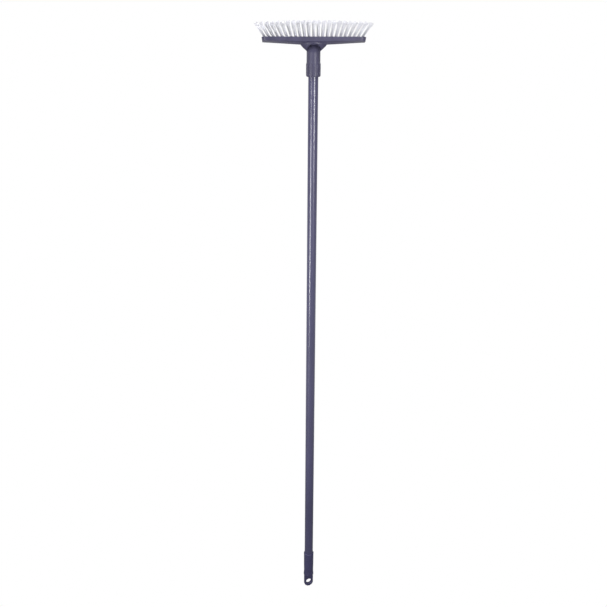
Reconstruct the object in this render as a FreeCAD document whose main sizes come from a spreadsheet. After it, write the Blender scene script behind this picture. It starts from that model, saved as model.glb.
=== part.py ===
"""Long-handled brush: a moulded head with fanned tufts, screwed on a painted steel tube with a hanging cap.

Frame, in millimetres: the origin is the centre of the hanging hole, +Z runs up the handle to the head, and X
runs along the length of the head. The head leans back on its socket, so its back faces down and towards -Y.
"""

import FreeCAD, Part

import math
import os

import Sketcher

V = FreeCAD.Vector
NEAR = 0.05  # two places closer than this, in mm, are the same place
SLIGHT = 0.05  # an ellipse's two radii differ at least by this, in mm

SIZES = {
    # handle tube
    "tube_radius": 11.0,
    "tube_wall": 0.7,
    "tube_foot_z": 36.0,
    "tube_top_z": 1376.0,
    # threaded ferrule
    "plug_length": 30.0,
    "plug_lead": 2.0,
    "plug_lead_depth": 1.2,
    "ferrule_bore": 6.5,
    "ferrule_chamfer": 1.5,
    "shoulder_height": 2.0,
    "thread_root": 9.0,
    "thread_crest": 10.2,
    "thread_pitch": 5.0,
    "thread_length": 24.0,
    "thread_flank": 0.9,
    "thread_land": 0.8,
    "thread_seat": 0.4,
    "thread_runout": 5.5,
    # hanging cap
    "cap_top_z": 93.0,
    "cap_radius": 12.75,
    "cap_rim_radius": 12.95,
    "cap_rim_bevel": 0.5,
    "cap_rim_height": 3.5,
    "cap_rim_slope": 2.5,
    "cap_taper": 0.1,
    "cap_taper_z": 55.0,
    "waist_radius": 12.3,
    "waist_z": 37.0,
    "waist_length": 4.0,
    "collar_radius": 13.05,
    "collar_z": 25.0,
    "collar_half_height": 2.0,
    "collar_bevel": 1.2,
    "collar_foot_z": 20.5,
    "eye_overlap": 3.0,
    "eye_radius": 7.0,
    "eye_thickness": 8.0,
    "eye_half_width": 12.2,
    "eye_drop": 3.4,
    "eye_rounding": 2.5,
    "eye_turn": 17.0,
    # socket
    "mouth_z": 1346.8,
    "mouth_radius": 15.5,
    "mouth_rounding": 1.6,
    "mouth_chamfer": 1.0,
    "collar_top_radius": 15.2,
    "socket_step_z": 1376.5,
    "socket_radius": 14.95,
    "socket_root_z": 1400.7,
    "dome_height": 15.2,
    "rib_count": 16,
    "rib_width": 1.6,
    "rib_height": 0.45,
    "rib_seat": 12.0,
    "rib_margin": 2.5,
    "guide_radius": 11.3,
    "guide_top_z": 1378.4,
    "socket_bore": 10.5,
    "groove_radius": 11.5,
    "bore_top_z": 1404.5,
    "groove_gap": 0.3,
    "groove_runout": 4.6,
    # boss with its arched recesses
    "boss_foot_inset": 0.9,
    "boss_foot_drop": 1.4,
    "boss_waist_half_length": 22.5,
    "boss_waist_half_depth": 18.3,
    "boss_waist_rise": 6.5,
    "boss_half_length": 28.6,
    "boss_half_depth": 20.5,
    "boss_rise": 13.6,
    "boss_flare": 1.4,
    "boss_top_z": 1424.0,
    "arch_half_width": 16.4,
    "arch_height": 18.0,
    "arch_web": 6.0,
    # block
    "face_z": 1429.0,
    "head_lean": 10.0,
    "block_length": 224.0,
    "block_depth": 47.0,
    "corner_radius": 11.0,
    "face_rounding": 0.8,
    "side_draft": 9.0,
    "edge_height": 7.5,
    "keel_middle": 16.6,
    "keel_end": 10.0,
    "trim": 1.0,
    # tufts
    "column_count": 23,
    "column_pitch": 9.5,
    "row_count": 5,
    "row_pitch": 9.0,
    "end_lean": 33.0,
    "row_lean": 5.0,
    "hole_radius": 2.5,
    "hole_depth": 7.5,
    "tuft_length": 34.0,
    "tuft_foot_radius": 2.0,
    "tuft_tip_radius": 3.9,
    "wire_length": 4.7,
    "wire_thickness": 0.35,
    "wire_height": 1.6,
    "wire_gap": 0.05,
}

doc = FreeCAD.newDocument("LongHandledBrush")
sheet = doc.addObject("Spreadsheet::Sheet", "Sizes")
for row, (alias, value) in enumerate(SIZES.items(), start=1):
    sheet.set(f"A{row}", alias)
    sheet.set(f"B{row}", str(value))
    sheet.setAlias(f"B{row}", alias)
doc.recompute()


def size(alias):
    """A driving size, read back from the sheet."""
    return float(sheet.get(alias))


def cell(expression):
    """The expression with each driving size named as a cell of the sheet."""
    words = expression.replace("(", "( ").replace(")", " )").split()
    return " ".join("Sizes." + word if word in SIZES else word for word in words)


def bind(thing, **expressions):
    """Binds properties to the sheet. Two underscores in a name stand for a dot."""
    for name, expression in expressions.items():
        thing.setExpression(name.replace("__", "."), cell(expression))


def primitive(kind, label, **expressions):
    thing = doc.addObject(f"Part::{kind}", label)
    bind(thing, **expressions)
    return thing


def boolean(kind, label, base, tool):
    thing = doc.addObject(f"Part::{kind}", label)
    thing.Base, thing.Tool = base, tool
    return thing


def fuse(label, shapes):
    thing = doc.addObject("Part::MultiFuse", label)
    thing.Shapes = shapes
    thing.Refine = True
    return thing


# --- PartDesign helpers


def new_body(label):
    body = doc.addObject("PartDesign::Body", label)
    body.Label = label
    return body


def origin_feature(body, role):
    return next(f for f in body.Origin.OriginFeatures if f.Role == role)


def new_sketch(body, name, plane, **offset):
    """A sketch on one of the body's origin planes. offset binds its distance from that plane."""
    sketch = body.newObject("Sketcher::SketchObject", name)
    sketch.AttachmentSupport = [(origin_feature(body, plane), "")]
    sketch.MapMode = "FlatFace"
    bind(sketch, **offset)
    doc.recompute()
    return sketch


def hold_point(sketch, edge, end, x, y):
    """Holds a point of an edge at x, y from the sketch's origin, both as expressions."""
    for kind, value in (("DistanceX", x), ("DistanceY", y)):
        number = float(sketch.evalExpression(cell(value)))
        place = sketch.addConstraint(Sketcher.Constraint(kind, -1, 1, edge, end, number))
        sketch.setExpression(f"Constraints[{place}]", cell(value))


def outline(sketch, corners):
    """A closed outline of straight lines through corners, each a pair of expressions."""
    spots = [V(*(float(sketch.evalExpression(cell(c))) for c in corner), 0) for corner in corners]
    first = sketch.GeometryCount
    for i, spot in enumerate(spots):
        sketch.addGeometry(Part.LineSegment(spot, spots[(i + 1) % len(spots)]), False)
    for i, corner in enumerate(corners):
        after = first + (i - 1) % len(corners)
        sketch.addConstraint(Sketcher.Constraint("Coincident", after, 2, first + i, 1))
        hold_point(sketch, first + i, 1, *corner)


def circle(sketch, radius, x="0", y="0"):
    number = float(sketch.evalExpression(cell(radius)))
    spot = V(float(sketch.evalExpression(cell(x))), float(sketch.evalExpression(cell(y))), 0)
    edge = sketch.addGeometry(Part.Circle(spot, V(0, 0, 1), number), False)
    place = sketch.addConstraint(Sketcher.Constraint("Radius", edge, number))
    sketch.setExpression(f"Constraints[{place}]", cell(radius))
    hold_point(sketch, edge, 3, x, y)


def pad(body, sketch, name, **expressions):
    feature = body.newObject("PartDesign::Pad", name)
    feature.Profile = sketch
    bind(feature, **expressions)
    return feature


def revolve(body, sketch, name):
    feature = body.newObject("PartDesign::Revolution", name)
    feature.Profile = sketch
    feature.ReferenceAxis = (sketch, ["V_Axis"])
    feature.Angle = 360
    return feature


def round_edges(body, base, name, radius, chosen):
    """Fillets the edges of base for which chosen(edge) is true."""
    doc.recompute()
    names = [f"Edge{i}" for i, edge in enumerate(base.Shape.Edges, start=1) if chosen(edge)]
    fillet = body.newObject("PartDesign::Fillet", name)
    fillet.Base = (base, names)
    bind(fillet, Radius=radius)
    return fillet


# --- handle: tube, ferrule, cap


def handle_tube():
    body = new_body("handle_tube")
    ring = new_sketch(body, "TubeRing", "XY_Plane")
    circle(ring, "tube_radius")
    circle(ring, "tube_radius - tube_wall")
    pad(body, ring, "TubeWall", Length="tube_top_z - tube_foot_z")
    bind(body, Placement__Base__z="tube_foot_z")
    return body


def add_thread(body, radius, crest, foot, height):
    """A helical ridge of trapezoid section round the body, from a little inside radius out to crest."""
    section = new_sketch(body, "ThreadSection", "XZ_Plane")
    inner = f"{radius} - thread_seat"
    outline(
        section,
        [
            (inner, foot),
            (crest, f"{foot} + thread_flank"),
            (crest, f"{foot} + thread_flank + thread_land"),
            (inner, f"{foot} + 2 * thread_flank + thread_land"),
        ],
    )
    doc.recompute()
    ridge = body.newObject("PartDesign::AdditiveHelix", "ThreadRidge")
    ridge.Profile = section
    ridge.ReferenceAxis = (section, ["V_Axis"])
    ridge.Mode = "pitch-height-angle"
    bind(ridge, Pitch="thread_pitch", Height=height)
    return ridge


def threaded_ferrule():
    """Its origin is at the top of the tube: the plug hangs below, the shoulder and the thread stand above."""
    body = new_body("threaded_ferrule")
    profile = new_sketch(body, "FerruleProfile", "XZ_Plane")
    plug_radius = "tube_radius - tube_wall"
    top = "shoulder_height + thread_length"
    outline(
        profile,
        [
            ("ferrule_bore", "0 - plug_length"),
            (f"{plug_radius} - plug_lead_depth", "0 - plug_length"),
            (plug_radius, "plug_lead - plug_length"),
            (plug_radius, "0"),
            ("tube_radius", "0"),
            ("tube_radius", "shoulder_height"),
            ("thread_root", "shoulder_height"),
            ("thread_root", f"{top} - ferrule_chamfer"),
            ("thread_root - ferrule_chamfer", top),
            ("ferrule_bore", top),
        ],
    )
    revolve(body, profile, "FerruleTurned")
    doc.recompute()
    start, rise = "shoulder_height + thread_seat", "thread_length - thread_runout"
    body.Tip = add_thread(body, "thread_root", "thread_crest", start, rise)
    bind(body, Placement__Base__z="tube_top_z")
    return body


def hanging_cap():
    """A sleeve over the tube's foot, and below it a flat eye, turned a little from the head's line."""
    sleeve = new_body("cap_sleeve")
    profile = new_sketch(sleeve, "SleeveProfile", "XZ_Plane")
    outline(
        profile,
        [
            ("tube_radius", "cap_top_z"),
            ("cap_rim_radius - cap_rim_bevel", "cap_top_z"),
            ("cap_rim_radius", "cap_top_z - 2 * cap_rim_bevel"),
            ("cap_rim_radius", "cap_top_z - cap_rim_height"),
            ("cap_radius", "cap_top_z - cap_rim_height - cap_rim_slope"),
            ("cap_radius - cap_taper", "cap_taper_z"),
            ("waist_radius", "waist_z"),
            ("waist_radius + cap_taper", "waist_z - waist_length"),
            ("collar_radius", "collar_z + collar_half_height"),
            ("collar_radius", "collar_z - collar_half_height"),
            ("collar_radius - collar_bevel", "collar_foot_z"),
            ("0", "collar_foot_z"),
            ("0", "tube_foot_z"),
            ("tube_radius", "tube_foot_z"),
        ],
    )
    revolve(sleeve, profile, "SleeveTurned")

    eye = new_body("cap_eye")
    shape = new_sketch(eye, "EyeOutline", "XZ_Plane", AttachmentOffset__Base__z="0 - eye_thickness / 2")
    wide, low = size("eye_half_width"), size("eye_drop")
    high = size("collar_foot_z") + size("eye_overlap")
    shape.addGeometry(Part.LineSegment(V(-wide, high, 0), V(-wide, -low, 0)), False)
    lower = Part.ArcOfCircle(Part.Circle(V(0, -low, 0), V(0, 0, 1), wide), math.pi, 2 * math.pi)
    shape.addGeometry(lower, False)
    shape.addGeometry(Part.LineSegment(V(wide, -low, 0), V(wide, high, 0)), False)
    shape.addGeometry(Part.LineSegment(V(wide, high, 0), V(-wide, high, 0)), False)
    for edge in range(4):
        shape.addConstraint(Sketcher.Constraint("Coincident", edge, 2, (edge + 1) % 4, 1))
    hold_point(shape, 0, 1, "0 - eye_half_width", "collar_foot_z + eye_overlap")
    hold_point(shape, 0, 2, "0 - eye_half_width", "0 - eye_drop")
    hold_point(shape, 2, 1, "eye_half_width", "0 - eye_drop")
    hold_point(shape, 2, 2, "eye_half_width", "collar_foot_z + eye_overlap")
    shape.addConstraint(Sketcher.Constraint("DistanceY", -1, 1, 1, 3, -low))
    shape.setExpression(f"Constraints[{shape.ConstraintCount - 1}]", cell("0 - eye_drop"))
    circle(shape, "eye_radius")
    slab = pad(eye, shape, "EyeSlab", Length="eye_thickness")
    face_y = size("eye_thickness") / 2

    def on_a_face(edge):
        """True for the outlines of the two faces, less the edges buried in the sleeve."""
        middle = edge.CenterOfMass
        return abs(abs(middle.y) - face_y) < NEAR and middle.z < high - NEAR

    eye.Tip = round_edges(eye, slab, "EyeRounding", "eye_rounding", on_a_face)

    cap = fuse("hanging_cap", [sleeve, eye])
    cap.Placement = FreeCAD.Placement(V(0, 0, 0), FreeCAD.Rotation(V(0, 0, 1), size("eye_turn")))
    bind(cap, Placement__Rotation__Angle="eye_turn")
    return cap


# --- head: block, boss, socket, holes


def in_head(thing):
    """Places a thing drawn on the head's own axes: its origin in the bristle face, its Z along the bristles."""
    lean = FreeCAD.Rotation(V(-1, 0, 0), size("head_lean"))
    thing.Placement = FreeCAD.Placement(V(0, 0, size("face_z")), lean)
    bind(thing, Placement__Base__z="face_z", Placement__Rotation__Angle="head_lean")
    return thing


def block_blank():
    """The block's drafted side walls: a rounded rectangle that narrows away from the bristle face."""
    body = new_body("block_blank")
    sketch = new_sketch(body, "BlockOutline", "XY_Plane")
    outline(
        sketch,
        [
            ("0 - block_length / 2", "0 - block_depth / 2"),
            ("block_length / 2", "0 - block_depth / 2"),
            ("block_length / 2", "block_depth / 2"),
            ("0 - block_length / 2", "block_depth / 2"),
        ],
    )
    walls = pad(body, sketch, "BlockWalls", Length="keel_middle + trim", TaperAngle="0 - side_draft")
    walls.Reversed = True
    doc.recompute()

    def upright(edge):
        return abs(edge.Vertexes[0].Z - edge.Vertexes[-1].Z) > size("keel_middle")

    def in_face(edge):
        return max(abs(edge.BoundBox.ZMax), abs(edge.BoundBox.ZMin)) < NEAR

    corners = round_edges(body, walls, "BlockCorners", "corner_radius", upright)
    body.Tip = round_edges(body, corners, "FaceRounding", "face_rounding", in_face)
    return body


def keel_section(body, name, keel, x):
    """Across the block: flat over the bristle face, straight walls, and an arched back of height keel."""
    sketch = new_sketch(body, name, "YZ_Plane", AttachmentOffset__Base__z=x)
    over = size("trim")
    half = size("block_depth") / 2 + over
    edge = size("edge_height")
    deep = size(keel)
    sketch.addGeometry(Part.LineSegment(V(-half, -edge, 0), V(-half, over, 0)), False)
    sketch.addGeometry(Part.LineSegment(V(-half, over, 0), V(half, over, 0)), False)
    sketch.addGeometry(Part.LineSegment(V(half, over, 0), V(half, -edge, 0)), False)
    sketch.addGeometry(Part.Arc(V(half, -edge, 0), V(0, -deep, 0), V(-half, -edge, 0)), False)
    radius = ((deep - edge) ** 2 + half**2) / (2 * (deep - edge))
    for first in range(2):
        sketch.addConstraint(Sketcher.Constraint("Coincident", first, 2, first + 1, 1))
    ends = {
        point.distanceToPoint(V(half, -edge, 0)) < NEAR: number
        for number, point in ((1, sketch.getPoint(3, 1)), (2, sketch.getPoint(3, 2)))
    }
    sketch.addConstraint(Sketcher.Constraint("Coincident", 2, 2, 3, ends[True]))
    sketch.addConstraint(Sketcher.Constraint("Coincident", 0, 1, 3, ends[False]))
    side = "( block_depth / 2 + trim )"
    hold_point(sketch, 0, 1, f"0 - {side}", "0 - edge_height")
    hold_point(sketch, 0, 2, f"0 - {side}", "trim")
    hold_point(sketch, 1, 2, side, "trim")
    hold_point(sketch, 2, 2, side, "0 - edge_height")
    place = sketch.addConstraint(Sketcher.Constraint("Radius", 3, radius))
    rise = f"({keel} - edge_height)"
    sketch.setExpression(f"Constraints[{place}]", cell(f"( {rise} ^2 + {side} ^2 ) / ( 2 * {rise} )"))
    return sketch


def block_keel():
    """The block's back: deepest in the middle, and ruled straight to each end."""
    body = new_body("block_keel")
    reach = "( block_length / 2 + 2 * trim )"
    sections = [
        keel_section(body, "KeelLeft", "keel_end", f"0 - {reach}"),
        keel_section(body, "KeelMiddle", "keel_middle", "0"),
        keel_section(body, "KeelRight", "keel_end", reach),
    ]
    doc.recompute()
    loft = body.newObject("PartDesign::AdditiveLoft", "KeelLoft")
    loft.Profile = sections[0]
    loft.Sections = sections[1:]
    loft.Ruled = True
    return body


def ellipse(label, major, minor, z):
    return primitive("Ellipse", label, MajorRadius=major, MinorRadius=minor, Placement__Base__z=z)


def boss():
    """A bowl that narrows from the block to the socket, less an arched recess in its front and its back."""
    foot = "socket_radius - boss_foot_inset"
    levels = [
        (foot, f"{foot} - {SLIGHT}", "socket_root_z - boss_foot_drop"),
        ("boss_waist_half_length", "boss_waist_half_depth", "socket_root_z + boss_waist_rise"),
        ("boss_half_length", "boss_half_depth", "socket_root_z + boss_rise"),
        ("boss_half_length + boss_flare", "boss_half_depth + boss_flare / 4", "boss_top_z"),
    ]
    bowl = doc.addObject("Part::Loft", "boss_bowl")
    bowl.Sections = [ellipse(f"BossLevel{i}", *level) for i, level in enumerate(levels)]
    bowl.Solid = True
    bowl.MaxDegree = 3

    cutters = []
    upright = FreeCAD.Rotation(V(1, 0, 0), 90) * FreeCAD.Rotation(V(0, 0, 1), 90)
    for name, side in (("front", -1), ("back", 1)):
        ring = primitive("Ellipse", f"Arch_{name}", MajorRadius="arch_height", MinorRadius="arch_half_width")
        spot = V(0, side * size("arch_web"), size("socket_root_z"))
        ring.Placement = FreeCAD.Placement(spot, upright)
        sign = "" if side > 0 else "0 - "
        bind(ring, Placement__Base__y=f"{sign}arch_web", Placement__Base__z="socket_root_z")
        cutter = doc.addObject("Part::Extrusion", f"arch_{name}")
        cutter.Base = ring
        cutter.DirMode = "Custom"
        cutter.Dir = V(0, side, 0)
        cutter.Solid = True
        bind(cutter, LengthFwd="boss_half_depth * 1.5")
        cutters.append(cutter)
    return boolean("Cut", "boss", bowl, fuse("arches", cutters))


def socket():
    """The socket's outside: a ribbed lower half, a plain upper half and a domed root."""
    lower = new_body("socket_lower")
    profile = new_sketch(lower, "SocketLowerProfile", "XZ_Plane")
    outline(
        profile,
        [
            ("0", "mouth_z"),
            ("mouth_radius", "mouth_z"),
            ("collar_top_radius", "socket_step_z"),
            ("0", "socket_step_z"),
        ],
    )
    turned = revolve(lower, profile, "SocketLowerTurned")

    def at_mouth(edge):
        return edge.BoundBox.ZMax < size("mouth_z") + NEAR

    lower.Tip = round_edges(lower, turned, "MouthRounding", "mouth_rounding", at_mouth)
    upper = primitive(
        "Cylinder",
        "socket_upper",
        Radius="socket_radius",
        Height="socket_root_z - socket_step_z + trim",
        Placement__Base__z="socket_step_z - trim",
    )
    dome = primitive(
        "Ellipsoid",
        "socket_dome",
        Radius1="dome_height",
        Radius2="socket_radius",
        Radius3="socket_radius",
        Placement__Base__z="socket_root_z",
    )
    ribs = []
    count = int(size("rib_count"))
    for i in range(count):
        rib = primitive(
            "Box",
            f"rib_{i + 1}",
            Length="mouth_radius + rib_height - rib_seat",
            Width="rib_width",
            Height="socket_step_z - mouth_z - 2 * rib_margin",
        )
        turn = FreeCAD.Rotation(V(0, 0, 1), 360 * (i + 0.5) / count)
        start = V(size("rib_seat"), -size("rib_width") / 2, size("mouth_z") + size("rib_margin"))
        rib.Placement = FreeCAD.Placement(turn.multVec(start), turn)
        ribs.append(rib)
    return [lower, upper, dome, *ribs]


def socket_bore():
    """What is cut from the socket: a guide for the tube, then a threaded bore up into the boss."""
    body = new_body("socket_bore")
    profile = new_sketch(body, "BoreProfile", "XZ_Plane")
    outline(
        profile,
        [
            ("0", "mouth_z - trim"),
            ("guide_radius + mouth_chamfer", "mouth_z - trim"),
            ("guide_radius + mouth_chamfer", "mouth_z"),
            ("guide_radius", "mouth_z + 1.5 * mouth_chamfer"),
            ("guide_radius", "guide_top_z"),
            ("socket_bore", "guide_top_z"),
            ("socket_bore", "bore_top_z - mouth_chamfer"),
            ("socket_bore - mouth_chamfer", "bore_top_z"),
            ("0", "bore_top_z"),
        ],
    )
    revolve(body, profile, "BoreTurned")
    doc.recompute()
    start, rise = "guide_top_z + thread_seat - groove_gap", "thread_length - groove_runout"
    body.Tip = add_thread(body, "socket_bore", "groove_radius", start, rise)
    return body


def tuft_places():
    """(row, column, foot, direction) of each tuft on the head's own axes. The outer rows lack the end tufts."""
    rows, columns = int(size("row_count")), int(size("column_count"))
    middle_row, middle_column = (rows - 1) / 2, (columns - 1) / 2
    for row in range(rows):
        outer = row in (0, rows - 1)
        for column in range(columns):
            if outer and column in (0, columns - 1):
                continue
            along, across = column - middle_column, row - middle_row
            lean = math.radians(size("end_lean") * along / middle_column)
            tip = math.radians(size("row_lean") * across / middle_row)
            direction = V(math.sin(lean), math.cos(lean) * math.sin(tip), math.cos(lean) * math.cos(tip))
            yield row, column, V(along * size("column_pitch"), across * size("row_pitch"), 0), direction


def tuft_holes():
    """Blind holes for the tufts. Each starts above the face, so that a leaning hole is open all round."""
    over = 2 * size("hole_radius")
    deep = size("hole_depth")
    radius = size("hole_radius")
    holes = [
        Part.makeCylinder(radius, deep + over, foot - direction * deep, direction)
        for _, _, foot, direction in tuft_places()
    ]
    feature = doc.addObject("Part::Feature", "tuft_holes")
    feature.Shape = Part.makeCompound(holes)
    return in_head(feature)


def brush_head():
    block = in_head(boolean("Common", "block", block_keel(), block_blank()))
    moulding = fuse("moulding", [block, boss(), *socket()])
    bored = boolean("Cut", "bored_moulding", moulding, socket_bore())
    return boolean("Cut", "brush_head", bored, tuft_holes())


# --- tufts and their anchor wires


def row_group(name, row, shapes):
    feature = doc.addObject("Part::Feature", f"{name}_row_{row + 1}")
    feature.Shape = Part.makeCompound(shapes)
    return in_head(feature)


def anchor_wire(foot, direction):
    """A flat wire on edge at the bottom of a hole, under the tuft that it holds."""
    long, thick, high = size("wire_length"), size("wire_thickness"), size("wire_height")
    wire = Part.makeBox(long, thick, high, V(-long / 2, -thick / 2, size("wire_gap")))
    wire.Placement = FreeCAD.Placement(
        foot - direction * size("hole_depth"), FreeCAD.Rotation(V(0, 0, 1), direction)
    )
    return wire


def tuft(foot, direction):
    """One bundle of filaments as a solid that widens to its tip."""
    sunk = size("hole_depth") - size("wire_height") - 2 * size("wire_gap")
    return Part.makeCone(
        size("tuft_foot_radius"),
        size("tuft_tip_radius"),
        size("tuft_length") + sunk,
        foot - direction * sunk,
        direction,
    )


def tufts_and_wires():
    groups = []
    for wanted in range(int(size("row_count"))):
        places = [(foot, way) for row, _, foot, way in tuft_places() if row == wanted]
        groups.append(row_group("tuft", wanted, [tuft(*place) for place in places]))
        groups.append(row_group("anchor_wires", wanted, [anchor_wire(*place) for place in places]))
    return groups


# --- build, check, write


def check_document():
    """Raises unless every object computed and every shape is there and valid."""
    for thing in doc.Objects:
        if "Invalid" in thing.State or "Error" in thing.State:
            raise RuntimeError(f"{thing.Label} failed: {thing.State}")


def write(parts):
    os.makedirs("parts", exist_ok=True)
    for part in parts:
        shape = part.Shape
        if shape.isNull() or not shape.isValid():
            raise RuntimeError(f"{part.Label} has no valid shape")
        shape.exportStep(f"parts/{part.Label}.step")
        print(f"{part.Label}: {len(shape.Solids)} solids, {shape.Volume / 1000:.2f} cm3")


PARTS = [handle_tube(), threaded_ferrule(), hanging_cap(), brush_head(), *tufts_and_wires()]
doc.recompute()
check_document()
write(PARTS)
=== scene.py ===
"""Long-handled brush: the looks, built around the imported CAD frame. Metres, +Z up the handle."""

import math
import random

import bpy
from mathutils import Matrix, Vector


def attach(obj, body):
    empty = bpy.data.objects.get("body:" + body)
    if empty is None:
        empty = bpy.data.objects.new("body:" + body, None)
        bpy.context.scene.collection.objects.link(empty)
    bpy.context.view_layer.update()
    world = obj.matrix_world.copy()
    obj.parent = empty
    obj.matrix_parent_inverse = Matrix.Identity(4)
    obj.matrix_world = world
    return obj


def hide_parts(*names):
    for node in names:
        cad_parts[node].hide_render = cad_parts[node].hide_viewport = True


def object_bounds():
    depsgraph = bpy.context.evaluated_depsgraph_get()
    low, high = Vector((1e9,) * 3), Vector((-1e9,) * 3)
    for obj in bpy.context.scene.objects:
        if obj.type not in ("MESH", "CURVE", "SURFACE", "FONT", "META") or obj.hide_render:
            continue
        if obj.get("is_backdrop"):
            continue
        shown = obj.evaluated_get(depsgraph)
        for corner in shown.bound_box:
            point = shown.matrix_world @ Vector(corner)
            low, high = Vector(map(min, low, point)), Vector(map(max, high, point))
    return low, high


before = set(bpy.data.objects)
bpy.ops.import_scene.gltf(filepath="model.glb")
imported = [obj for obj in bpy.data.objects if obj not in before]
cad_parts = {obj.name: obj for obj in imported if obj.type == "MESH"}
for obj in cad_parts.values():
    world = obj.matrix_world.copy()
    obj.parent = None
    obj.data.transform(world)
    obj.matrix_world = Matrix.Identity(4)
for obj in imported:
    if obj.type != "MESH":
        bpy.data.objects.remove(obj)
cad_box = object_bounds()

MM = 0.001

# The head's own axes, as in the CAD: origin in the bristle face, X along the block, Z along the bristles.
FACE_Z = 1429.0 * MM
HEAD_LEAN = math.radians(10.0)
HEAD = Matrix.Translation((0, 0, FACE_Z)) @ Matrix.Rotation(-HEAD_LEAN, 4, "X")

# The tufts stand as in the CAD, but lean a degree more at the ends, and are longer there.
ROWS, COLUMNS = 5, 23
ROW_PITCH, COLUMN_PITCH = 9.0 * MM, 9.5 * MM
END_LEAN, ROW_LEAN = math.radians(34.0), math.radians(5.0)
TUFT_LENGTH = 33.9 * MM
END_EXTRA, END_EXTRA_POWER = 0.075, 6
TUFT_SUNK = 5.6 * MM
TUFT_RADIUS = 2.2 * MM

# How much a tuft's own direction, and its tone, differ by chance.
TUFT_SWAY_ALONG, TUFT_SWAY_ACROSS = 0.014, 0.02
TUFT_SHADE = 0.12
TONE_SHAPE = 2.4, 1.6
SEED = 7100

# A tuft's filaments, and how many fewer there are in the end tufts.
FILAMENTS = 46
END_THINNING, END_THINNING_POWER = 0.5, 6
FILAMENT_RADIUS = 0.21 * MM
FILAMENT_SIDES = 4
SHARP_ANGLE = math.radians(100)
FILAMENT_STEPS = (0.0, 0.3, 0.55, 0.78, 1.0)

# How a filament runs: its shortest cut, how a tuft opens towards its tip, and each filament's drift and curl.
SHORTEST_CUT = 0.975
OPEN_EVENLY, OPEN_AT_TIP, OPEN_POWER = 0.08, 1.05, 4
DRIFT, DRIFT_POWER = 0.55 * MM, 3
CURL = 0.25 * MM
STRAY_SHARE, STRAY_FACTOR = 0.07, 2.6
ROOT_SQUEEZE = 0.8

# The boss of the head, between the socket and the block, and how its duller surface fades out.
BOSS_HEIGHTS = 1399.5 * MM, 1417.0 * MM
ZONE_FADE = 2.0 * MM
ZONE_ROUGHER = 0.4

# The camera: what it looks at, how it is turned, its distance and its lens.
CENTRE_Z = 813.7 * MM
AIM_LEFT = 18.3 * MM
TILT, SWING, ROLL = math.radians(21.6), math.radians(2.0), math.radians(0.36)
DISTANCE = 2161.3 * MM
PIXELS = 607
FOCAL_PIXELS = 900.0
SENSOR = 36.0

# World light by direction, the floor's grey near the brush and far from it (painted shade near, painted light
# far),
# and the lamps: name, place, aim, width, height, watts.
WORLD_BACK, WORLD_FRONT, WORLD_TOP = 0.10, 0.46, 0.48
FLOOR_PAINTED_SHADE_NEAR, FLOOR_PAINTED_LIGHT_FAR = 0.20, 0.95
GREY_FROM, GREY_TO = 0.4, 2.2
FLOOR_REACH = 12.0
LIGHTS = (
    ("right_strip", (0.73, -1.34, 1.24), (0, 0, 1.34), 0.22, 0.46, 7.6),
    ("right_slit", (0.74, -1.34, 0.95), (0, 0, 1.38), 0.07, 0.22, 5.0),
    ("left_strip", (-1.09, -1.20, 0.58), (0, 0, 1.25), 0.24, 0.76, 16.0),
    ("left_slit", (-1.30, -0.92, 1.22), (0, 0, 1.40), 0.06, 0.40, 2.0),
    ("overhead", (0.0, -0.30, 2.40), (0, 0, 1.40), 1.1, 0.7, 20.0),
    ("left_side", (-1.3, 0.7, 1.75), (0, 0, 1.45), 0.5, 0.5, 12.0),
    ("right_side", (1.3, 0.7, 1.75), (0, 0, 1.45), 0.5, 0.5, 7.0),
)


# --- materials

# Moulded plastic: the strength of its grain, and how much paler its specks and edges are; the paler edges are
# partly rubbed wear and partly a painted edge highlight.
GRAIN, WEAR_AND_HIGHLIGHT_PALER = 0.10, 1.6


def shader(name):
    """A new node material: itself, its Principled node, and functions that add a node and join two."""
    material = bpy.data.materials.new(name)
    material.use_nodes = True
    tree = material.node_tree
    principled = tree.nodes["Principled BSDF"]

    def add(kind, inputs=(), **settings):
        node = tree.nodes.new("ShaderNode" + kind)
        for key, value in settings.items():
            setattr(node, key, value)
        for key, value in dict(inputs).items():
            if isinstance(value, bpy.types.NodeSocket):
                tree.links.new(value, node.inputs[key])
            else:
                node.inputs[key].default_value = value
        return node

    def join(output, target, socket):
        tree.links.new(output, target.inputs[socket])

    return material, principled, add, join


def noise(add, place, scale, detail=3.0, roughness=0.5):
    return add(
        "TexNoise", {"Vector": place, "Scale": scale, "Detail": detail, "Roughness": roughness}
    ).outputs["Fac"]


def stretched(add, scale):
    """Object coordinates scaled by a vector, for streaks along one axis."""
    place = add("TexCoord").outputs["Object"]
    return add("Mapping", {"Vector": place, "Scale": scale}).outputs["Vector"]


def band(add, value, low, high, out_low=0.0, out_high=1.0):
    """value, stretched from low..high to out_low..out_high and clamped."""
    limits = {"From Min": low, "From Max": high, "To Min": out_low, "To Max": out_high}
    return add("MapRange", {"Value": value, **limits}).outputs["Result"]


def mixed(add, factor, first, second):
    """A colour between first and second; each is a colour or a socket."""
    node = add("Mix", data_type="RGBA")
    for socket, value in ((node.inputs[0], factor), (node.inputs[6], first), (node.inputs[7], second)):
        if isinstance(value, bpy.types.NodeSocket):
            node.id_data.links.new(value, socket)
        else:
            socket.default_value = value
    return node.outputs[2]


def worn_and_highlit_edges(add, radius):
    """A bevelled normal, and how far it turns from the true one: 1 on sharp edges, 0 on flat faces. The
    second masks the paler edges, partly wear and partly a painted highlight.
    """
    soft = add("Bevel", {"Radius": radius}, samples=6).outputs["Normal"]
    true = add("NewGeometry").outputs["Normal"]
    dot = add("VectorMath", {0: soft, 1: true}, operation="DOT_PRODUCT").outputs["Value"]
    return soft, band(add, dot, 0.995, 0.90)


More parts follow.
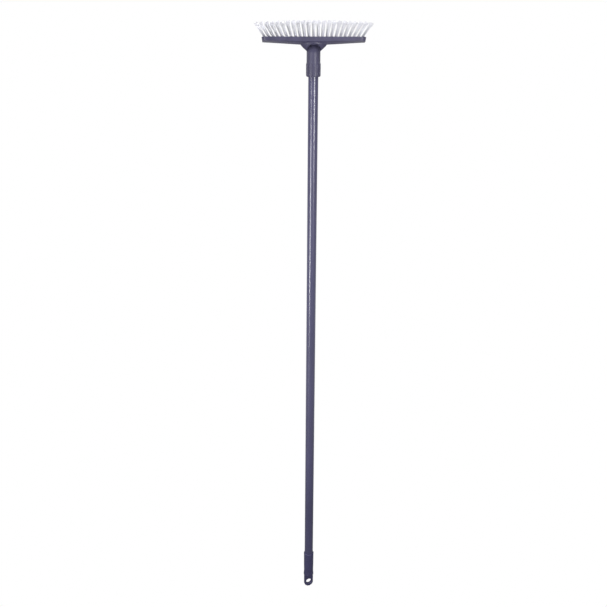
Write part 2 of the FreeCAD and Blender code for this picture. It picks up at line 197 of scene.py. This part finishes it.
def moulded_plastic(name, colour, rough, gloss=0.75, matt_zone=None):
    """Satin moulded plastic: fine grain, soft blotches of tone, paler edges that are partly rubbed wear and
    partly a painted highlight, a few scuffs.

    matt_zone is a (low, high) pair of heights between which the mould left the surface duller.
    """
    material, principled, add, join = shader(name)
    place = add("TexCoord").outputs["Object"]
    blotch = noise(add, place, 38.0, 4.0)
    speck = noise(add, place, 900.0, 2.0, 0.6)
    scuff = noise(add, stretched(add, (700.0, 60.0, 240.0)), 1.0, 5.0, 0.7)
    soft, edge_wear_and_highlight = worn_and_highlit_edges(add, 0.7 * MM)

    dark = tuple(c * 0.86 for c in colour) + (1.0,)
    light = tuple(c * 1.14 for c in colour) + (1.0,)
    pale_wear_and_highlight = tuple(min(1.0, c * WEAR_AND_HIGHLIGHT_PALER) for c in colour) + (1.0,)
    base = mixed(add, band(add, blotch, 0.3, 0.7), dark, light)
    base = mixed(add, band(add, speck, 0.62, 0.8, 0.0, 0.35), base, pale_wear_and_highlight)
    # Painted highlight: the edges are made paler, partly as rubbed wear and partly as a highlight painted
    # along them.
    base = mixed(add, band(add, edge_wear_and_highlight, 0.0, 1.0, 0.0, 0.55), base, pale_wear_and_highlight)
    join(base, principled, "Base Color")

    marks = band(add, scuff, 0.60, 0.74, 0.0, 0.16)
    tone = band(add, blotch, 0.25, 0.75, rough - 0.05, rough + 0.06)
    rough_here = add("Math", {0: tone, 1: marks}, operation="ADD").outputs[0]
    if matt_zone:
        height = add("SeparateXYZ", {"Vector": place}).outputs["Z"]
        low, high = matt_zone
        above = band(add, height, low - ZONE_FADE, low + ZONE_FADE, 0.0, ZONE_ROUGHER)
        below = band(add, height, high - ZONE_FADE, high + ZONE_FADE, 1.0, 0.0)
        duller = add("Math", {0: above, 1: below}, operation="MULTIPLY").outputs[0]
        rough_here = add("Math", {0: rough_here, 1: duller}, operation="ADD").outputs[0]
    join(rough_here, principled, "Roughness")

    relief = add("Bump", {"Height": speck, "Strength": GRAIN, "Distance": 0.12 * MM, "Normal": soft})
    join(relief.outputs["Normal"], principled, "Normal")
    principled.inputs["Specular IOR Level"].default_value = gloss
    return material


def tube_paint(name, colour, rough):
    """Semi-gloss paint on drawn tube: a faint orange peel, hairlines along the tube and small rubs."""
    material, principled, add, join = shader(name)
    place = add("TexCoord").outputs["Object"]
    cloud = noise(add, stretched(add, (30.0, 30.0, 6.0)), 1.0, 3.0)
    peel = noise(add, place, 420.0, 2.0)
    lines = noise(add, stretched(add, (900.0, 900.0, 14.0)), 1.0, 4.0, 0.65)
    rubs = noise(add, stretched(add, (160.0, 160.0, 420.0)), 1.0, 6.0, 0.75)

    dark = tuple(c * 0.88 for c in colour) + (1.0,)
    light = tuple(c * 1.12 for c in colour) + (1.0,)
    pale = tuple(min(1.0, c * 1.7) for c in colour) + (1.0,)
    base = mixed(add, band(add, cloud, 0.3, 0.7), dark, light)
    base = mixed(add, band(add, lines, 0.64, 0.78, 0.0, 0.4), base, pale)
    base = mixed(add, band(add, rubs, 0.70, 0.82, 0.0, 0.35), base, pale)
    join(base, principled, "Base Color")

    tone = band(add, lines, 0.3, 0.8, rough - 0.04, rough + 0.10)
    join(tone, principled, "Roughness")
    height = add("Math", {0: peel, 1: lines}, operation="ADD").outputs[0]
    relief = add("Bump", {"Height": height, "Strength": 0.005, "Distance": 0.1 * MM})
    join(relief.outputs["Normal"], principled, "Normal")
    principled.inputs["Specular IOR Level"].default_value = 0.7
    principled.inputs["Coat Weight"].default_value = 0.25
    principled.inputs["Coat Roughness"].default_value = 0.22
    return material


def filament_material(name):
    """Clear-white synthetic filament: milky, a little see-through, each one with its own tone, with painted
    shade darker at the foot of each tuft and at the tips.
    """
    material, principled, add, join = shader(name)
    tone = add("Attribute", attribute_name="tone").outputs["Fac"]
    along = add("Attribute", attribute_name="along").outputs["Fac"]
    place = add("TexCoord").outputs["Object"]
    dust = noise(add, place, 160.0, 3.0)

    base = mixed(add, tone, (0.83, 0.83, 0.89, 1.0), (0.96, 0.96, 0.99, 1.0))
    # Painted shade: the filaments grow darker towards the foot of each tuft, where they crowd and shade each
    # other.
    shade = band(add, along, 0.0, 0.5, 0.60, 0.0)
    base = mixed(add, shade, base, (0.50, 0.50, 0.60, 1.0))
    # Painted shade: the last quarter of each filament, up to its cut tip, is made darker.
    tip = band(add, along, 0.75, 1.0, 0.0, 0.70)
    base = mixed(add, tip, base, (0.46, 0.46, 0.51, 1.0))
    base = mixed(add, band(add, dust, 0.62, 0.8, 0.0, 0.25), base, (0.72, 0.72, 0.75, 1.0))
    join(base, principled, "Base Color")
    join(band(add, dust, 0.3, 0.7, 0.32, 0.46), principled, "Roughness")
    ripple = noise(add, stretched(add, (500.0, 500.0, 900.0)), 1.0, 2.0)
    relief = add("Bump", {"Height": ripple, "Strength": 0.1, "Distance": 0.05 * MM})
    join(relief.outputs["Normal"], principled, "Normal")
    principled.inputs["Transmission Weight"].default_value = 0.36
    principled.inputs["IOR"].default_value = 1.45
    return material


def drawn_wire(name):
    """Drawn flat wire: lines along it, dull with a few dark spots."""
    material, principled, add, join = shader(name)
    place = add("TexCoord").outputs["Object"]
    lines = noise(add, stretched(add, (300.0, 4000.0, 4000.0)), 1.0, 3.0)
    spots = noise(add, place, 700.0, 2.0)
    base = mixed(add, lines, (0.50, 0.48, 0.44, 1.0), (0.74, 0.72, 0.68, 1.0))
    base = mixed(add, band(add, spots, 0.62, 0.75, 0.0, 0.6), base, (0.25, 0.22, 0.19, 1.0))
    join(base, principled, "Base Color")
    join(band(add, lines, 0.2, 0.8, 0.28, 0.5), principled, "Roughness")
    principled.inputs["Metallic"].default_value = 1.0
    return material


def dress(node, material):
    """Gives a CAD node one material all over."""
    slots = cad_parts[node].data.materials
    slots.clear()
    slots.append(material)


# --- bristles


def tuft_places(row):
    """(foot, direction) of each tuft of a row, on the head's own axes. The outer rows lack the end tufts."""
    middle_row, middle_column = (ROWS - 1) / 2, (COLUMNS - 1) / 2
    ends = 1 if row in (0, ROWS - 1) else 0
    for column in range(ends, COLUMNS - ends):
        along, across = column - middle_column, row - middle_row
        lean = END_LEAN * along / middle_column
        tip = ROW_LEAN * across / middle_row
        way = Vector((math.sin(lean), math.cos(lean) * math.sin(tip), math.cos(lean) * math.cos(tip)))
        yield Vector((along * COLUMN_PITCH, across * ROW_PITCH, 0)), way


def filament_ends(dice, count):
    """Where the filaments of a tuft stand in their hole: a sunflower packing, a little disturbed."""
    golden = math.pi * (3 - math.sqrt(5))
    for i in range(count):
        radius = TUFT_RADIUS * math.sqrt((i + 0.5) / count)
        angle = i * golden + dice.uniform(-0.2, 0.2)
        yield radius * math.cos(angle), radius * math.sin(angle)


def filament_line(foot, way, side, over, start, longest, dice):
    """Points of one filament, from inside its hole to its tip. It spreads away from the tuft's middle."""
    length = longest * dice.uniform(SHORTEST_CUT, 1.0)
    stray = STRAY_FACTOR if dice.random() < STRAY_SHARE else 1.0
    drift = [dice.gauss(0.0, DRIFT) * stray for _ in range(2)]
    curl = [dice.gauss(0.0, CURL) * stray for _ in range(2)]
    yield foot - way * TUFT_SUNK + (side * start[0] + over * start[1]) * ROOT_SQUEEZE, 0.0
    for step in FILAMENT_STEPS:
        spread = 1.0 + OPEN_EVENLY * step + OPEN_AT_TIP * step**OPEN_POWER
        wave = math.sin(math.pi * step)
        x = start[0] * spread + drift[0] * step**DRIFT_POWER + curl[0] * wave
        y = start[1] * spread + drift[1] * step**DRIFT_POWER + curl[1] * wave
        yield foot + way * (length * step) + side * x + over * y, step


def bristle_row(row, material):
    """All filaments of one row of tufts, as one mesh of thin four-sided rods with cut ends."""
    dice = random.Random(SEED + row)
    points, faces, tones, steps = [], [], [], []
    corners = [math.tau * (k + 0.5) / FILAMENT_SIDES for k in range(FILAMENT_SIDES)]
    for foot, way in tuft_places(row):
        sway = Vector((dice.gauss(0, TUFT_SWAY_ALONG), dice.gauss(0, TUFT_SWAY_ACROSS), 0))
        tuft_way = (way + sway).normalized()
        side = tuft_way.cross(Vector((0, 1, 0))).normalized()
        over = tuft_way.cross(side).normalized()
        shade = dice.uniform(-TUFT_SHADE, TUFT_SHADE)
        outward = abs(foot.x) / (COLUMN_PITCH * (COLUMNS - 1) / 2)
        count = round(FILAMENTS * (1 - END_THINNING * outward**END_THINNING_POWER))
        longest = TUFT_LENGTH * (1 + END_EXTRA * outward**END_EXTRA_POWER)
        for start in filament_ends(dice, count):
            tone = min(1.0, max(0.0, dice.betavariate(*TONE_SHAPE) + shade))
            first = len(points)
            for spot, step in filament_line(foot, tuft_way, side, over, start, longest, dice):
                for angle in corners:
                    rim = (side * math.cos(angle) + over * math.sin(angle)) * FILAMENT_RADIUS
                    points.append(HEAD @ (spot + rim))
                    tones.append(tone)
                    steps.append(step)
            rings = (len(points) - first) // FILAMENT_SIDES
            for ring in range(rings - 1):
                low = first + ring * FILAMENT_SIDES
                high = low + FILAMENT_SIDES
                for k in range(FILAMENT_SIDES):
                    after = (k + 1) % FILAMENT_SIDES
                    faces.append((low + k, low + after, high + after, high + k))
            last = len(points) - FILAMENT_SIDES
            faces.append(tuple(last + k for k in range(FILAMENT_SIDES)))
            faces.append(tuple(first + k for k in reversed(range(FILAMENT_SIDES))))
    mesh = bpy.data.meshes.new(f"bristles_row_{row + 1}")
    mesh.from_pydata([tuple(p) for p in points], [], faces)
    for name, values in (("tone", tones), ("along", steps)):
        mesh.attributes.new(name, "FLOAT", "POINT").data.foreach_set("value", values)
    mesh.shade_smooth()
    mesh.set_sharp_from_angle(angle=SHARP_ANGLE)
    mesh.materials.append(material)
    piece = bpy.data.objects.new(mesh.name, mesh)
    bpy.context.scene.collection.objects.link(piece)
    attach(piece, "head")
    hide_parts(f"tuft_row_{row + 1}")
    return piece


# --- studio


def camera():
    """In front of the brush and above it, looking down at the middle of the handle."""
    data = bpy.data.cameras.new("camera")
    data.sensor_width = SENSOR
    data.lens = FOCAL_PIXELS / PIXELS * SENSOR
    eye = bpy.data.objects.new("camera", data)
    right = Vector((math.cos(SWING), -math.sin(SWING), 0))
    aim = Vector((0, 0, CENTRE_Z)) - right * AIM_LEFT
    level = Vector((math.sin(SWING), math.cos(SWING), 0))
    forward = level * math.cos(TILT) - Vector((0, 0, math.sin(TILT)))
    turn = forward.to_track_quat("-Z", "Y").to_matrix().to_4x4()
    eye.matrix_world = Matrix.Translation(aim - forward * DISTANCE) @ turn @ Matrix.Rotation(ROLL, 4, "Z")
    bpy.context.scene.collection.objects.link(eye)
    bpy.context.scene.camera = eye


def floor():
    """A wide floor at the foot of the brush: white to the eye; to the light, a grey with painted shade near
    the brush that pales outwards to a painted pool of light.
    """
    mesh = bpy.data.meshes.new("floor")
    low = cad_box[0][2]
    signs = (-1, -1), (1, -1), (1, 1), (-1, 1)
    mesh.from_pydata([(x * FLOOR_REACH, y * FLOOR_REACH, low) for x, y in signs], [], [(0, 1, 2, 3)])
    material, principled, add, join = shader("floor_white")
    away = add("VectorMath", {0: add("TexCoord").outputs["Object"]}, operation="LENGTH").outputs["Value"]
    # Painted shade and light: the floor's grey is darker near the brush and pales outwards, a painted pool of
    # light around it.
    join(band(add, away, GREY_FROM, GREY_TO, FLOOR_PAINTED_SHADE_NEAR, FLOOR_PAINTED_LIGHT_FAR), principled, "Base Color")
    principled.inputs["Roughness"].default_value = 0.9
    white = add("Emission", {"Color": (1.0, 1.0, 1.0, 1.0), "Strength": 1.0})
    rays = add("LightPath").outputs
    seen = add("Math", {0: rays["Is Camera Ray"], 1: rays["Is Transmission Ray"]}, operation="MAXIMUM")
    blend = add("MixShader", {0: seen.outputs[0], 1: principled.outputs[0], 2: white.outputs[0]})
    join(blend.outputs[0], material.node_tree.nodes["Material Output"], "Surface")
    mesh.materials.append(material)
    ground = bpy.data.objects.new("floor", mesh)
    bpy.context.scene.collection.objects.link(ground)
    ground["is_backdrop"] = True


def soft_light(name, place, aim, wide, high, watts):
    data = bpy.data.lights.new(name, "AREA")
    data.shape = "RECTANGLE"
    data.size, data.size_y = wide, high
    data.energy = watts
    lamp = bpy.data.objects.new(name, data)
    way = Vector(aim) - Vector(place)
    lamp.matrix_world = Matrix.Translation(place) @ way.to_track_quat("-Z", "Y").to_matrix().to_4x4()
    bpy.context.scene.collection.objects.link(lamp)


def studio():
    """White all round to the eye; as light, bright in front and above, and dim behind."""
    world = bpy.data.worlds.new("studio")
    bpy.context.scene.world = world
    world.use_nodes = True
    tree = world.node_tree
    link = tree.links.new

    def node(kind, **settings):
        made = tree.nodes.new("ShaderNode" + kind)
        for key, value in settings.items():
            setattr(made, key, value)
        return made

    way = node("SeparateXYZ")
    link(node("TexCoord").outputs["Generated"], way.inputs[0])
    front, above = node("MapRange"), node("MapRange")
    for part, output, low, high, dim, bright in (
        (front, "Y", 0.6, -0.9, WORLD_BACK, WORLD_FRONT),
        (above, "Z", 0.0, 1.0, 0.0, WORLD_TOP),
    ):
        link(way.outputs[output], part.inputs["Value"])
        for name, value in (("From Min", low), ("From Max", high), ("To Min", dim), ("To Max", bright)):
            part.inputs[name].default_value = value
    total = node("Math", operation="ADD")
    link(front.outputs["Result"], total.inputs[0])
    link(above.outputs["Result"], total.inputs[1])

    rays = node("LightPath").outputs
    seen = node("Math", operation="MAXIMUM")
    link(rays["Is Camera Ray"], seen.inputs[0])
    link(rays["Is Transmission Ray"], seen.inputs[1])
    tone = node("Mix", data_type="FLOAT")
    link(seen.outputs[0], tone.inputs[0])
    link(total.outputs[0], tone.inputs[2])
    tone.inputs[3].default_value = 1.0
    backdrop = tree.nodes["Background"]
    backdrop.inputs["Color"].default_value = (1.0, 1.0, 1.0, 1.0)
    link(tone.outputs[0], backdrop.inputs["Strength"])

    for lamp in LIGHTS:
        soft_light(*lamp)


# --- the brush

HEAD_COLOUR = (0.037, 0.034, 0.072)
TUBE_COLOUR = (0.036, 0.034, 0.086)
CAP_COLOUR = (0.024, 0.022, 0.076)
FERRULE_COLOUR = (0.030, 0.030, 0.034)

dress("brush_head", moulded_plastic("head_plastic", HEAD_COLOUR, 0.42, 0.50, matt_zone=BOSS_HEIGHTS))
dress("handle_tube", tube_paint("tube_paint", TUBE_COLOUR, 0.30))
dress("hanging_cap", moulded_plastic("cap_plastic", CAP_COLOUR, 0.46))
dress("threaded_ferrule", moulded_plastic("ferrule_plastic", FERRULE_COLOUR, 0.40))
wire = drawn_wire("drawn_wire")
filament = filament_material("filament")
for number in range(1, ROWS + 1):
    dress(f"anchor_wires_row_{number}", wire)
    bristle_row(number - 1, filament)

studio()
floor()
camera()
bpy.context.scene.view_settings.view_transform = "Standard"

({name: [list(map(float, corner)) for corner in box]
           for name, box in (("cad", cad_box), ("visual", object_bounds()))})
